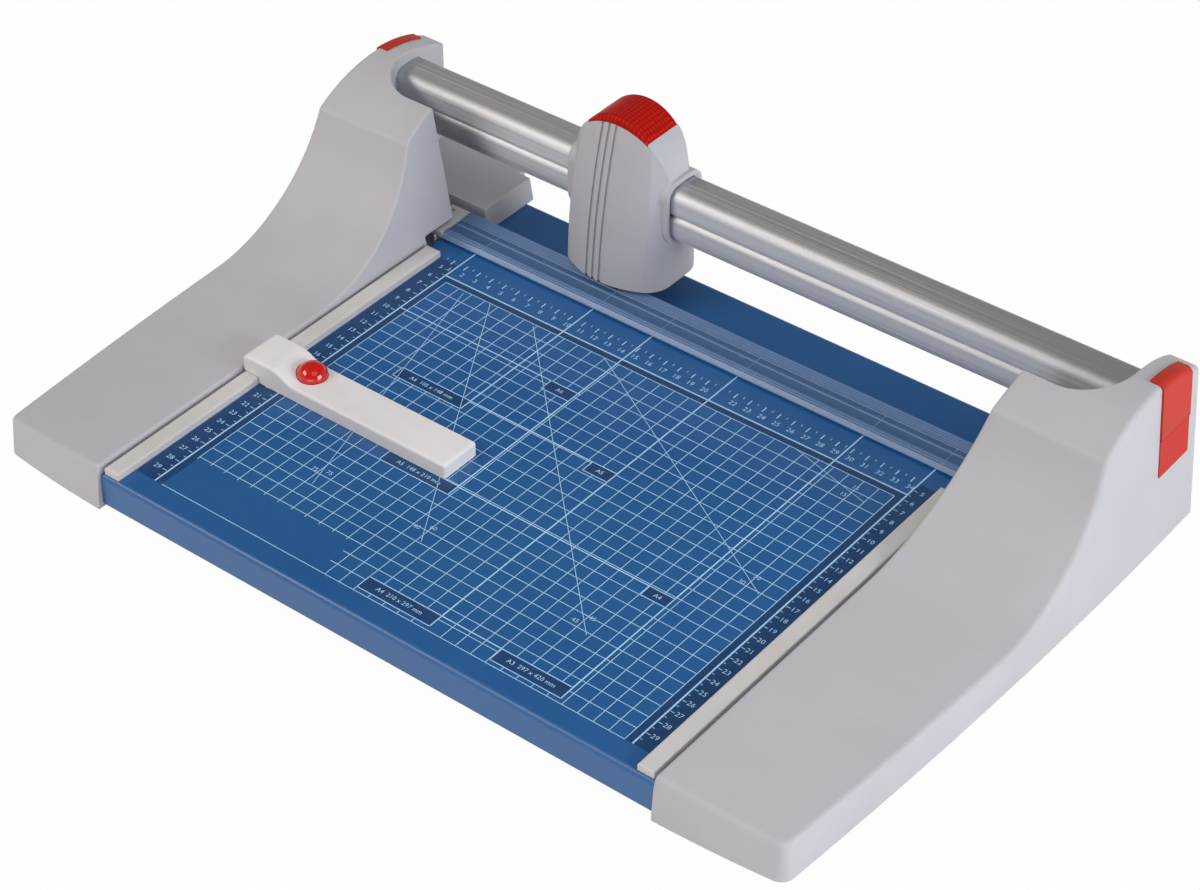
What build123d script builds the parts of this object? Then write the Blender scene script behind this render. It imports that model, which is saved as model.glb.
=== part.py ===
from build123d import *
from math import radians, sqrt, tan
import os

# Rotary paper trimmer. Millimetres, +X along the guide rail, +Y to the back, +Z up.
# The origin is under the middle of the machine, on the surface that its feet stand on.

# Overall layout
depth = 372.5            # front of the housings to their rear walls
cut_to_rear = 54.0       # cutting line to the housings' rear walls
table_top = 25.0         # table above the surface under the feet
foot_height = 2.0        # rubber foot below the base plates
front = -depth / 2
rear = depth / 2
cut = rear - cut_to_rear

# Table sheet
sheet = 1.5              # steel thickness
bend = 2.0               # inner bend radius
table_inset = 3.5        # front fold behind the front of the housings
table_skirt = 20.5       # height of the folds below the table top
deck_drop = 8.0          # rear deck below the table top
deck_depth = 45.0        # cutting line to the rear fold
side_gap = 0.7           # table edge to a housing

# Housings
housing_inner = 191.7    # middle of the machine to a housing's inner wall
nose_width = 77.1        # width of a housing across its front
waist_width = 88.6       # the same at mid length, where the outer wall bows out
tail_width = 90.7        # the same at the rear
front_bow = 5.5          # the outer front corner lies this far behind the inner one
bow_share = 0.22         # share of that reached at the middle of the front wall
wall = 2.6               # moulded wall
wall_lean = 5.0          # draft of the outer and front walls, degrees
arm_inner = 31.0         # height of the arm beside the table
arm_outer = 24.6         # height of the arm at its outer edge
sweep_length = 92.5      # rising sweep between the arm and the crease
crease_inner = 94.5      # height of the crease between sweep and dome, beside the table
crease_outer = 91.8      # the same at the outer edge
crease_to_cut = 40.5     # crease in front of the cutting line
dome_top = 109.0         # top of the tower
dome_behind_cut = 11.0   # highest line of the tower behind the cutting line
dome_rear = 99.0         # height of the tower at the rear wall
lean_foot = 28.0         # height where the inner wall starts to lean out
inner_lean = 10.4        # lean of the inner wall above that, degrees
crease_round = 6.0
edge_round = 3.0         # outer and front top edges
rim_round = 1.6          # inner top edge
corner_round = 8.0

# Bay in each tower, where the cutting head parks
bay_width = 64.3         # inner wall of the housing to the bay's outer wall
bay_before_cut = 13.6    # front wall of the bay in front of the cutting line
bay_corner = 31.0        # plan radius of the bay's outer front corner
ledge_top = 32.0         # floor of the bay
ledge_reach = 10.7       # the ledge reaches in over the rear deck
ledge_behind_cut = 5.0   # front edge of the ledge behind the cutting line
ledge_depth = 44.0
ledge_lift = 0.3         # gap between the ledge and the rear deck
ledge_round = 1.0
bay_round = 1.0          # rim of the bay

# Guide rail
rail_behind_cut = 21.5   # middle of the rail behind the cutting line
rail_width = 26.0
rail_bottom = 62.5
rail_height = 39.0
rail_crown = 1.6         # rise of the rail's top face
rail_corner = 6.0
rail_wall = 2.0
groove_height = 22.2     # side grooves above the rail's bottom
groove_size = 1.6
groove_shoulder = 4.0    # rounding below a side groove
groove_brow = 1.7        # rounding above it
rail_fit = 0.1           # rail in the housings' openings
port_radius = 2.1        # screw ports in the rail's ends
port_wall = 1.8
port_offset = 6.5        # screw ports from the middle of the rail

# Rail anchors
anchor_width = 38.0
anchor_height = 28.0
anchor_plate = 3.0
bolt_length = 14.0
bolt_head = 3.4
bolt_head_radius = 3.6

# Red end clips
clip_width = 31.0
clip_behind_cut = 29.5   # middle of the clip behind the cutting line
clip_bottom = 50.0
clip_reach = 7.0         # how far the clip hooks in over the tower's top edge
clip_sink = 1.0          # depth of its seat in the housing
clip_proud = 1.2
clip_round = 4.0         # outer top edge of the clip
clip_play = 0.12
clip_step = 24.0         # height of the clip's lower band
clip_dimple_drop = 4.5   # thumb dimple below the middle of the upper band
clip_dimple_ball = 13.5  # radius of the dimple's curve
clip_dimple_depth = 0.9

# Base plates, tubes and feet
plate = 2.0
plate_play = 0.4
screw_radius = 1.5
screw_play = 0.05
screw_head = 1.2
screw_head_radius = 2.8
boss_radius = 3.6
pilot_depth = 10.0       # screw holes in the bosses above the base plates
pilot_spare = 1.0        # gap beyond a screw's tip
boss_in = 40.3           # base plate screws beside a housing's inner wall
boss_front = 28.0        # first screw behind the front
boss_sweep = 15.5        # second screw in front of the sweep
boss_bay = 32.5          # third screw in front of the cutting line
tube_width = 22.0
front_tube_back = 40.0   # front cross tube behind the front fold
rear_tube_back = 30.0    # rear cross tube behind the cutting line
tube_wall = 1.5
tube_in_housing = 24.0   # tube end inside a housing's inner wall
rear_tube_height = 9.0
front_tube_height = 14.0
tube_play = 0.3
tube_screw_in = 16.0     # tube screws inside a housing's inner wall
tube_boss_radius = 5.8
foot_radius = 8.0
foot_stud = 3.0
foot_in = 44.3           # feet beside a housing's inner wall
foot_front = 50.0        # front foot behind the front
foot_rear = 42.5         # rear foot in front of the rear wall

# Scale rails
scale_gap = 2.3          # scale rail to a housing
scale_width = 10.4
scale_height = 4.5
scale_front = 2.0        # rail end behind the front fold
scale_rear = 42.0        # rail end in front of the cutting line
scale_round = 1.2

# Counter blade
counter_end = 8.7        # counter blade's end from a housing
counter_thick = 1.6
counter_screws = 5
counter_margin = 15.0    # outer screws from the blade's ends
counter_screw_up = 3.2   # screws above the rear deck
counter_head_radius = 2.3
counter_hole = 1.2       # depth of the blind holes in the counter blade
counter_tip = 0.1        # gap beyond a screw's tip

# Clamp strip
clamp_lift = 1.6         # strip above the table at rest
strip_width = 27.5
strip_gap = 0.6          # strip's rear edge in front of the cutting line
strip_thick = 3.0
strip_nose = 1.8         # bevel of the strip's front edge
strip_short = 1.7        # strip's end from a housing's inner wall
rib_height = 0.8
rib_width = 1.0
rear_ribs = 5
rear_rib_pitch = 2.0
lip_rib = 1.4            # first lip rib behind the bevel
lip_pitch = 2.1          # second lip rib behind the first
carrier_length = 14.0
carrier_drop = 0.2       # carrier's underside below the strip's
post_radius = 1.5
post_play = 0.06
post_in = 8.3            # guide posts beside a housing's inner wall
post_pitch = 18.0
post_top = 30.2
post_sunk = 1.5          # post in the floor of the well
slot_front = 40.0        # strip slot in the housing, in front of the cutting line
slot_in = 17.3           # depth of the slot from the housing's inner wall
slot_top = 33.0
slot_floor = 15.0
runout_in = 38.3         # run-out for the blade and the shoe in the bay's floor
runout_floor = 21.0
spring_wire = 0.3        # radius of the lift springs' wire
spring_radius = 2.3
spring_turns = 4
spring_play = 0.1

# Cutting head
head_x = -81.5           # where the head stands along the rail
head_width = 72.0
head_base = 33.5
head_front = 12.3        # foot of the head in front of the cutting line
head_rear = 50.0         # foot of the head behind it
head_top = 139.0
head_top_front = 6.0     # top of the head behind the cutting line, front edge
head_top_rear = 34.0
head_cheek = 10.0        # bowed front ends this far inside the head's sides at the foot
head_bow = 6.4           # bow of that front in plan
head_corner = 16.5       # depth of the rounded corners at the foot
head_bulge = 2.1         # rounding of those corners
waist_height = 88.0      # section between foot and top
waist_front = 6.0        # the same sizes there
waist_rear = 45.0
waist_cheek = 8.0
waist_bow = 5.0
waist_corner = 14.0
waist_bulge = 0.6
head_top_cheek = 14.5    # the same sizes at the top, where the corners are nearly flat
head_top_bow = 2.5
head_top_corner = 6.5
head_top_bulge = 0.3
shoulder_height = 92.0
shoulder_in = 1.0        # shoulders inside the head's sides
shoulder_full = 3.3      # fullness of the shoulders
pad_in = 14.5            # pad's side edges inside the head's sides
pad_side = 129.0         # height of the pad's side edges
head_wall = 2.8
head_grooves = 3         # grooves down the front, from the middle to the left
head_groove = 2.0        # width of a groove
head_groove_depth = 1.1
head_groove_pitch = 5.0
pad_thick = 1.6          # pad at its side edges
pad_front = 5.0          # pad at the middle of its front edge
pad_gap = 0.1
pad_round = 2.5          # front and rear top edges of the pad
bush_wall = 1.2
bush_length = 13.0
slide_play = 0.3         # rail to bush
bush_seat = 0.05
bush_inset = 0.3         # bush inside the collar's end
collar = 2.5             # collar round the rail on each side of the head
collar_proud = 0.4
tunnel_floor = 2.6

# Rotary blade
blade_radius = 22.5
blade_thick = 0.9
blade_dip = 2.0          # blade edge below the table top
blade_bevel = 2.2
blade_bore = 4.0
blade_play = 0.08        # blade to counter blade
axle_radius = 2.5
axle_play = 0.05
axle_head = 2.0
axle_head_radius = 4.5
hub_radius = 11.0
hub_thick = 3.2
lock_radius = 8.0
lock_thick = 1.4
spring_cone = 1.4        # height of the conical washer
cone_play = 0.2          # washer round the axle
cone_rim = 1.0           # washer's rim outside the axle's head
cone_gap = 0.1           # washer to hub
bracket_in = 22.0        # blade bracket inside the head's sides
bracket_gap = 1.0
bracket_thick = 11.0
blade_slot_in = 15.0     # blade slot inside the head's sides
slot_clear = 1.0         # blade slot beside the hub and the lock ring
shoe_in = 23.0           # shoe inside the head's sides
shoe_depth = 5.0
shoe_gap = 0.35          # shoe above the strip's ribs at rest

# Backstop on the left scale rail
stop_ahead = 187.6       # middle of the bar in front of the cutting line
button_ahead = 185.3     # middle of the button in front of the cutting line
stop_width = 27.0
stop_length = 139.0      # bar from the inner face of the scale rail
stop_lift = 0.3
stop_bar = 9.2
stop_hump = 15.5
hump_length = 8.0        # where the hump starts to slope down to the bar
hump_slope = 21.0
stop_round = 2.0
stop_rim = 1.2           # rounding along the bar's top edges
stop_play = 0.4
foot_plate = 1.2
button_in = 27.3         # button from the inner face of the scale rail
button_radius = 9.0
button_play = 0.3
button_rise = 6.3
button_floor = 1.2
button_travel = 2.0
button_seat = 0.2
button_show = 2.2        # straight wall of the button above the bar
button_spring_radius = 3.2
button_spring_play = 1.0

# Heights and places that follow from the sizes above
base = foot_height
past = 20.0              # cutting forms run this far past a piece
deck_top = table_top - deck_drop
table_half = housing_inner - side_gap
table_front = depth - cut_to_rear - table_inset
arm_length = depth - cut_to_rear - crease_to_cut - sweep_length
housing_front_outer = housing_inner + nose_width
housing_middle = housing_inner + waist_width
housing_rear = housing_inner + tail_width
bay_outer = housing_inner + bay_width
ledge_inner = housing_inner - ledge_reach
boss_x = housing_inner + boss_in
foot_x = housing_inner + foot_in
scale_inner = housing_inner - scale_gap - scale_width
counter_length = 2 * (housing_inner - counter_end)
counter_pitch = (counter_length - 2 * counter_margin) / (counter_screws - 1)
strip_end = housing_inner - strip_short
post_x = housing_inner + post_in
slot_outer = housing_inner + slot_in
runout_outer = housing_inner + runout_in
head_half = head_width / 2
head_face = head_half - head_cheek
waist_face = head_half - waist_cheek
head_top_face = head_half - head_top_cheek
shoulder_half = head_half - shoulder_in
pad_half = head_half - pad_in
bracket_half = head_half - bracket_in
blade_slot_half = head_half - blade_slot_in
shoe_half = head_half - shoe_in
stop_end = stop_length - scale_inner
hump_end = hump_length - scale_inner
button_x = button_in - scale_inner
rail_y = cut + rail_behind_cut
rail_half = bay_outer + wall
crease_y = cut - crease_to_cut
dome_y = cut + dome_behind_cut
blade_z = table_top - blade_dip + blade_radius
blade_y = cut + blade_play
strip_bottom = table_top + clamp_lift
strip_top = strip_bottom + strip_thick
rib_top = strip_top + rib_height
strip_rear = cut - strip_gap
strip_front = strip_rear - strip_width
tube_top = table_top - sheet
rear_tube_top = deck_top - sheet
plate_top = base + plate
sides = {"right": 1, "left": -1}

side_plane = Plane.YZ
front_plane = Plane.XZ


def save(name, shape):
    """Write one named piece, made of one or more separate solids."""
    solids = shape.solids()
    piece = solids[0] if len(solids) == 1 else Compound(children=solids)
    piece.label = name
    export_step(piece, f"parts/{name}.step")


def block(x0, x1, y0, y1, z0, z1):
    """A box between two corners."""
    size = (x1 - x0, y1 - y0, z1 - z0)
    return Pos(x0, y0, z0) * Box(*size, align=(Align.MIN, Align.MIN, Align.MIN))


def rod(radius, start, end):
    """A round bar from one point to another along X, Y or Z."""
    line = Vector(*end) - Vector(*start)
    return Solid.make_cylinder(radius, line.length, Plane(origin=start, z_dir=line))


def handed(side, shape):
    """The right-hand piece, or its mirror image for the left."""
    return shape if sides[side] > 0 else mirror(shape, about=Plane.YZ)


def drawn_in(face, inset):
    """A face drawn in all round, or let out where inset is below 0."""
    if not inset:
        return face
    corners = Kind.INTERSECTION if inset > 0 else Kind.ARC
    return offset(face, amount=-inset, kind=corners)


def offset_line(points, distance):
    """The same run of square bends, moved sideways by a sheet's thickness."""
    moved = []
    for i, point in enumerate(points):
        before = points[i] - points[i - 1] if i else points[1] - points[0]
        after = points[i + 1] - points[i] if i + 1 < len(points) else before
        shift = Vector(-before.Y, before.X).normalized() * distance
        if before.cross(after).length > 1e-6:
            shift += Vector(-after.Y, after.X).normalized() * distance
        moved.append(point + shift)
    return moved


def build_table():
    """One steel sheet: front fold, table, step for the counter blade, rear deck and rear fold."""
    step_back = cut - counter_thick
    top = [
        Vector(cut - table_front, table_top - table_skirt),
        Vector(cut - table_front, table_top),
        Vector(step_back, table_top),
        Vector(step_back, deck_top),
        Vector(cut + deck_depth, deck_top),
        Vector(cut + deck_depth, table_top - table_skirt),
    ]
    under = offset_line(top, -sheet)
    outer, inner = bend + sheet, bend
    skin = FilletPolyline(*top, radius=[outer, sheet / 3, sheet / 3, outer])
    lining = FilletPolyline(*under, radius=[inner, sheet / 3, sheet / 3, inner])
    ends = [Line(top[0], under[0]), Line(top[-1], under[-1])]
    profile = make_face(Curve() + [skin, lining, *ends])
    table = extrude(side_plane.offset(-table_half) * profile, 2 * table_half)
    for x, y, z in counter_holes():
        table -= rod(screw_radius + screw_play, (x, y - 2 * sheet, z), (x, y, z))
    return table


def counter_holes():
    """Middles of the counter blade's screws, on the step's rear face."""
    first = -counter_pitch * (counter_screws - 1) / 2
    y = cut - counter_thick
    z = deck_top + counter_screw_up
    return [(first + i * counter_pitch, y, z) for i in range(counter_screws)]


def build_counter_blade():
    """Ground steel bar on the step, with its top edge level with the table."""
    half = counter_length / 2
    bar = block(-half, half, cut - counter_thick, cut, deck_top, table_top)
    heel = bar.edges().filter_by(Axis.X).sort_by_distance((0, cut - counter_thick, deck_top))[0]
    bar = chamfer(heel, sheet / 2)
    for x, y, z in counter_holes():
        bar -= rod(screw_radius + screw_play, (x, y, z), (x, y + counter_hole, z))
    return bar


def build_counter_screws():
    """Pan-head screws from under the table, through the step into the counter blade."""
    screws = Part()
    for x, y, z in counter_holes():
        seat = y - sheet
        screws += rod(screw_radius, (x, seat, z), (x, y + counter_hole - counter_tip, z))
        screws += rod(counter_head_radius, (x, seat - screw_head, z), (x, seat, z))
    return screws


def side_profile(x, arm, arm_end, crease, inset):
    """Housing seen from the side at one x: flat arm, rising sweep, crease, dome and rear wall."""
    foot = base - inset
    nose = front - past
    sweep_start = front + arm_length
    lines = Curve() + [
        Line((rear, foot), (nose, foot)),
        Line((nose, foot), (nose, arm)),
        Line((nose, arm), (sweep_start, arm_end)),
        TangentArc((sweep_start, arm_end), (crease_y, crease), tangent=(1, 0)),
        ThreePointArc((crease_y, crease), (dome_y, dome_top), (rear, dome_rear)),
        Line((rear, dome_rear), (rear, foot)),
    ]
    return side_plane.offset(x) * drawn_in(make_face(lines), inset)


def plan_outline(inset):
    """Bowed outer and front walls of a housing at its foot, open beyond its inner and rear walls."""
    beyond = 3 * past
    nose_y = front + inset
    start = (housing_inner - beyond, nose_y)
    corner = (housing_inner - beyond / 3, nose_y)
    nose = (housing_front_outer - inset, nose_y + front_bow)
    middle = (housing_middle - inset, 0)
    tail = (housing_rear - inset, rear + beyond / 3)
    end = (housing_rear - inset, rear + beyond)
    bow = ((corner[0] + nose[0]) / 2, nose_y + front_bow * bow_share)
    lines = Curve() + [
        Line(start, corner),
        ThreePointArc(corner, bow, nose),
        ThreePointArc(nose, middle, tail),
        Line(tail, end),
        Line(end, (start[0], end[1])),
        Line((start[0], end[1]), start),
    ]
    face = make_face(lines)
    sharp = face.vertices().sort_by_distance((nose[0], nose[1], 0))[0]
    return fillet(sharp, corner_round - inset)


def inner_cut(inset):
    """What lies beyond the inner wall, which is upright at the table and leans out above it."""
    x = housing_inner + inset
    top = dome_top + 2 * past
    lean = (top - lean_foot) * tan(radians(inner_lean))
    far = housing_inner - 6 * past
    low = base - past
    outline = Polyline((far, low), (x, low), (x, lean_foot), (x + lean, top), (far, top), close=True)
    return extrude(front_plane * make_face(outline), depth * 2, both=True)


def housing_form(inset=0.0):
    """Outer form of the right housing, drawn in by a wall's thickness, or out where inset is below 0."""
    near = housing_inner - past / 4
    far = housing_rear + past / 4
    slope = (arm_outer - arm_inner) / (housing_middle - housing_inner)
    tilt = (crease_outer - crease_inner) / (housing_middle - housing_inner)
    faces = []
    for x in (near, far):
        arm = arm_inner + slope * (x - housing_inner)
        crease = crease_inner + tilt * (x - housing_inner)
        faces.append(side_profile(x, arm, arm, crease, inset))
    body = loft(faces, ruled=True)
    walls = extrude(Pos(0, 0, base) * plan_outline(inset), dome_top + past / 2, taper=wall_lean)
    return body & walls - inner_cut(inset)


def head_bay(grow=0.0):
    """Space in the tower that the cutting head slides into, open at the top, the inside and the back."""
    x0 = housing_inner - 3 * past
    x1 = bay_outer + grow
    y0 = cut - bay_before_cut - grow
    y1 = rear + 2 * past
    outline = make_face(Polyline((x0, y0), (x1, y0), (x1, y1), (x0, y1), close=True))
    turn = outline.vertices().sort_by_distance((x1, y0, 0))[0]
    outline = fillet(turn, bay_corner + grow)
    return extrude(Pos(0, 0, ledge_top - grow) * outline, dome_top)


def strip_slot(grow=0.0):
    """Well that the clamp strip's end runs in, and a shallow run-out for the blade and the shoe."""
    x0 = housing_inner - 2 * past
    y1 = cut + ledge_behind_cut + grow
    top = slot_top + grow
    well = block(x0, slot_outer + grow, cut - slot_front - grow, y1, slot_floor - grow, top)
    return well + block(x0, runout_outer + grow, cut - bay_before_cut - grow, y1, runout_floor - grow, top)


def rail_outline(grow=0.0):
    """Rail section without its grooves: crowned top, rounded upper corners and a half-round bottom."""
    half = rail_width / 2
    top = rail_bottom + rail_height
    side_top = top - rail_crown
    low = rail_bottom + half
    lines = Curve() + [
        Line((rail_y - half, low), (rail_y - half, side_top)),
        ThreePointArc((rail_y - half, side_top), (rail_y, top), (rail_y + half, side_top)),
        Line((rail_y + half, side_top), (rail_y + half, low)),
        ThreePointArc((rail_y + half, low), (rail_y, rail_bottom), (rail_y - half, low)),
    ]
    face = make_face(lines)
    upper = face.vertices().sort_by(Axis.Y)[-2:]
    face = fillet(upper, rail_corner)
    return offset(face, amount=grow) if grow else face


def port_centres():
    """The rail's two screw ports, one in each chamber."""
    web = rail_bottom + groove_height
    return [(rail_y, web + port_offset), (rail_y, web - port_offset)]


def build_rail():
    """Two-chamber aluminium extrusion with a groove along each side and screw ports."""
    web = rail_bottom + groove_height
    section = rail_outline()
    core = offset(rail_outline(), amount=-rail_wall)
    divider = Pos(rail_y, web) * Rectangle(rail_width, groove_size + 2 * rail_wall)
    hollow = core - divider
    for y, z in port_centres():
        stem = Pos(y, (z + web) / 2) * Rectangle(2 * port_radius, abs(z - web))
        hollow -= Pos(y, z) * Circle(port_radius + port_wall) + stem
    section -= hollow
    for y, z in port_centres():
        section -= Pos(y, z) * Circle(port_radius)
    for edge in (-1, 1):
        face_y = rail_y + edge * rail_width / 2
        section -= Pos(face_y, web) * Rectangle(2 * groove_size, groove_size)
        for turn, radius in ((-1, groove_shoulder), (1, groove_brow)):
            reach = sqrt(radius ** 2 - (radius - groove_size) ** 2)
            lip = web + turn * groove_size / 2
            corner = Pos(face_y, lip + turn * reach / 2) * Rectangle(2 * groove_size, reach)
            section -= corner - Pos(face_y - edge * radius, lip + turn * reach) * Circle(radius)
    return extrude(side_plane.offset(-rail_half) * section, 2 * rail_half)


def clip_region(grow=0.0):
    """Where the clip lies: over the tower's outer top edge and down its outer wall."""
    middle = cut + clip_behind_cut
    half = clip_width / 2 + grow
    rise = (dome_top - base) * tan(radians(wall_lean))
    inner = housing_rear - rise - clip_reach - grow
    far, high = housing_rear + past, dome_top + past
    return block(inner, far, middle - half, middle + half, clip_bottom - grow, high)


def build_clip():
    """Red moulded clip, a skin that hooks over the housing's edge, with a lower band and a thumb dimple."""
    skin = (housing_form(-clip_proud) - housing_form(clip_sink)) & clip_region()
    along = [e for e in skin.edges() if e.bounding_box().size.Y > clip_width / 2]
    brow = max(along, key=lambda e: e.center().X + e.center().Z)
    skin = fillet(brow, clip_round)
    low = clip_bottom + clip_step
    band = block(0, housing_rear + past, cut, rear, clip_bottom - past, low)
    skin -= (housing_form(-clip_proud) - housing_form(-clip_proud / 2)) & band
    middle = (cut + clip_behind_cut, (low + dome_top) / 2 - clip_dimple_drop)
    dimple = Solid.make_sphere(clip_dimple_ball, angle1=-90, angle2=90)
    face_x = housing_rear - (middle[1] - base) * tan(radians(wall_lean)) + clip_proud
    centre_x = face_x + clip_dimple_ball - clip_dimple_depth
    return skin - Pos(centre_x, middle[0], middle[1]) * dimple


def boss_points():
    """Base plate screws of the right housing."""
    rows = (front + boss_front, front + arm_length - boss_sweep, cut - boss_bay)
    return [(boss_x, y) for y in rows]


def tube_rows():
    """Middle, underside and top of the front and rear cross tubes."""
    front_y = cut - table_front + front_tube_back
    rear_y = cut + rear_tube_back
    return {
        "front": (front_y, tube_top - front_tube_height, tube_top),
        "rear": (rear_y, rear_tube_top - rear_tube_height, rear_tube_top),
    }


def tube_screws():
    """Screws that hold the cross tubes' right ends: place, and underside of the tube."""
    x = housing_inner + tube_screw_in
    return [(x, y, low) for y, low, high in tube_rows().values()]


def long_edges(shell, side_test):
    """Top edges of a housing that run from front to back, on the side that is asked for."""
    high = [e for e in shell.edges() if e.center().Z > arm_outer - wall]
    top = [e for e in high if e.bounding_box().size.Y > sweep_length / 3]
    return [e for e in top if side_test(e.center().X) and e.center().Y < rear - 1]


def round_edges(shell):
    """Soften a housing's crease, its outer and front top edges and its inner top edge."""
    across = [e for e in shell.edges() if e.bounding_box().size.X > nose_width / 2]
    crease = [e for e in across if abs(e.center().Y - crease_y) < 2]
    shell = fillet(crease, crease_round)
    outer = long_edges(shell, lambda x: x > housing_front_outer)
    shell = fillet(outer[0], edge_round)
    inner = long_edges(shell, lambda x: x < bay_outer - bay_corner)
    inner = [e for e in inner if e.center().Z > lean_foot + 1]
    return fillet(inner[0], rim_round)


def bay_rim(shell):
    """Edges where the bay opens through the top of the tower."""
    high = [e for e in shell.edges() if e.center().Z > crease_inner and e.length > 10]
    behind = [e for e in high if cut - bay_before_cut - 1 < e.center().Y < rear - 1]
    return [e for e in behind if e.center().X < bay_outer + 1 and e.bounding_box().size.X < bay_corner + 1]


def build_housing():
    """Moulded right housing: low arm, swept front, domed tower with the bay for the head."""
    inside = housing_form(wall) - head_bay(wall) - strip_slot(wall)
    shell = housing_form()
    shell = round_edges(shell) - head_bay()
    shell = fillet(bay_rim(shell), bay_round)
    shell -= strip_slot()
    shell -= inside
    y0 = cut + ledge_behind_cut
    low = deck_top + ledge_lift
    rise = (ledge_top - low) * tan(radians(inner_lean))
    lip_x, x1 = ledge_inner + rise, housing_inner + wall
    section = Polyline((ledge_inner, low), (x1, low), (x1, ledge_top), (lip_x, ledge_top), close=True)
    step = extrude(front_plane.offset(-y0) * make_face(section), -ledge_depth)
    lip = step.edges().filter_by(Axis.Y).sort_by_distance((lip_x, cut, ledge_top))[0]
    shell += fillet(lip, ledge_round)
    for x, y in boss_points():
        boss = rod(boss_radius, (x, y, plate_top), (x, y, dome_top)) & housing_form(wall / 2)
        shell += boss
        shell -= rod(screw_radius + screw_play, (x, y, plate_top), (x, y, plate_top + pilot_depth))
    opening = side_plane.offset(bay_outer - wall * 2) * rail_outline(rail_fit)
    shell -= extrude(opening, wall * 4)
    for y, low, high in tube_rows().values():
        half = tube_width / 2 + tube_play
        x0, x1 = housing_inner - 1, housing_inner + wall + 1
        shell -= block(x0, x1, y - half, y + half, low - tube_play, high + tube_play)
    for x, y in post_points():
        shell -= rod(post_radius + post_play, (x, y, slot_floor - post_sunk), (x, y, slot_floor))
    return shell - (clip_region(clip_play) - housing_form(clip_sink + clip_play))


def post_points():
    """Guide posts of the strip's right end."""
    middle = (strip_front + strip_rear) / 2
    return [(post_x, middle + end * post_pitch / 2) for end in (-1, 1)]


def build_base_plate():
    """Plate that closes a housing from below and carries the cross tubes' ends."""
    inset = wall + plate_play
    outline = extrude(Pos(0, 0, base) * plan_outline(inset), plate)
    far, nose = housing_rear + past, front - past
    keep = block(housing_inner + inset, far, nose, rear - inset, base - past, plate_top + past)
    body = outline & keep
    for x, y, low in tube_screws():
        body += rod(tube_boss_radius, (x, y, plate_top), (x, y, low))
        body -= rod(screw_radius + screw_play, (x, y, base), (x, y, low))
        body -= rod(screw_head_radius + screw_play, (x, y, base), (x, y, base + screw_head))
    for x, y in boss_points():
        body -= rod(screw_radius + screw_play, (x, y, base), (x, y, plate_top))
    for x, y in foot_points():
        body -= rod(foot_stud, (x, y, base), (x, y, plate_top))
    return body


def foot_points():
    """Rubber feet under the right housing."""
    return [(foot_x, y) for y in (front + foot_front, rear - foot_rear)]


def build_feet():
    """Rubber feet with a stud pushed through the base plate."""
    feet = Part()
    for side in sides.values():
        for x, y in foot_points():
            sole = rod(foot_radius, (side * x, y, 0), (side * x, y, base))
            sole = chamfer(sole.edges().sort_by(Axis.Z)[:1], foot_height / 4)
            feet += sole + rod(foot_stud, (side * x, y, base), (side * x, y, plate_top))
    return feet


def build_plate_screws():
    """Screws through the base plates into the housings' bosses."""
    screws = Part()
    for side in sides.values():
        for x, y in boss_points():
            tip = plate_top + pilot_depth - pilot_spare
            screws += rod(screw_radius, (side * x, y, base), (side * x, y, tip))
            screws += rod(screw_head_radius, (side * x, y, base - screw_head), (side * x, y, base))
    return screws


def build_tube(row):
    """Square steel tube under the table, from housing to housing."""
    y, low, high = tube_rows()[row]
    half = housing_inner + tube_in_housing
    y0, y1 = y - tube_width / 2, y + tube_width / 2
    tube = block(-half, half, y0, y1, low, high)
    tube -= block(-half, half, y0 + tube_wall, y1 - tube_wall, low + tube_wall, high - tube_wall)
    for side in sides.values():
        for x, screw_y, screw_z in tube_screws():
            if screw_y == y:
                tube -= rod(screw_radius + screw_play, (side * x, y, low), (side * x, y, low + tube_wall))
    return tube


def build_tube_screws():
    """Screws through the base plates into the cross tubes."""
    screws = Part()
    for side in sides.values():
        for x, y, low in tube_screws():
            screws += rod(screw_radius, (side * x, y, base + screw_head), (side * x, y, low + tube_wall))
            screws += rod(screw_head_radius, (side * x, y, base), (side * x, y, base + screw_head))
    return screws


def build_scale_rail():
    """Raised edge beside the table that squares the sheet and carries the backstop."""
    y0 = cut - table_front + scale_front
    top = table_top + scale_height
    bar = block(scale_inner, scale_inner + scale_width, y0, cut - scale_rear, table_top, top)
    upper = bar.edges().filter_by(lambda e: e.center().Z > top - scale_round / 2)
    return fillet(upper, scale_round)


def build_anchor():
    """Plate behind the bay wall that holds the rail's end."""
    middle = rail_bottom + groove_height
    half = anchor_width / 2
    body = block(
        rail_half, rail_half + anchor_plate, rail_y - half, rail_y + half,
        middle - anchor_height / 2, middle + anchor_height / 2,
    )
    for y, z in port_centres():
        body -= rod(port_radius, (rail_half, y, z), (rail_half + anchor_plate, y, z))
    return body


def build_anchor_bolts():
    """Bolts through the anchor plates into the rail's screw ports."""
    bolts = Part()
    radius = port_radius - screw_play
    for side in sides.values():
        outer = rail_half + anchor_plate
        for y, z in port_centres():
            bolts += rod(radius, (side * (outer - bolt_length), y, z), (side * outer, y, z))
            bolts += rod(bolt_head_radius, (side * outer, y, z), (side * (outer + bolt_head), y, z))
    return bolts


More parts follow.
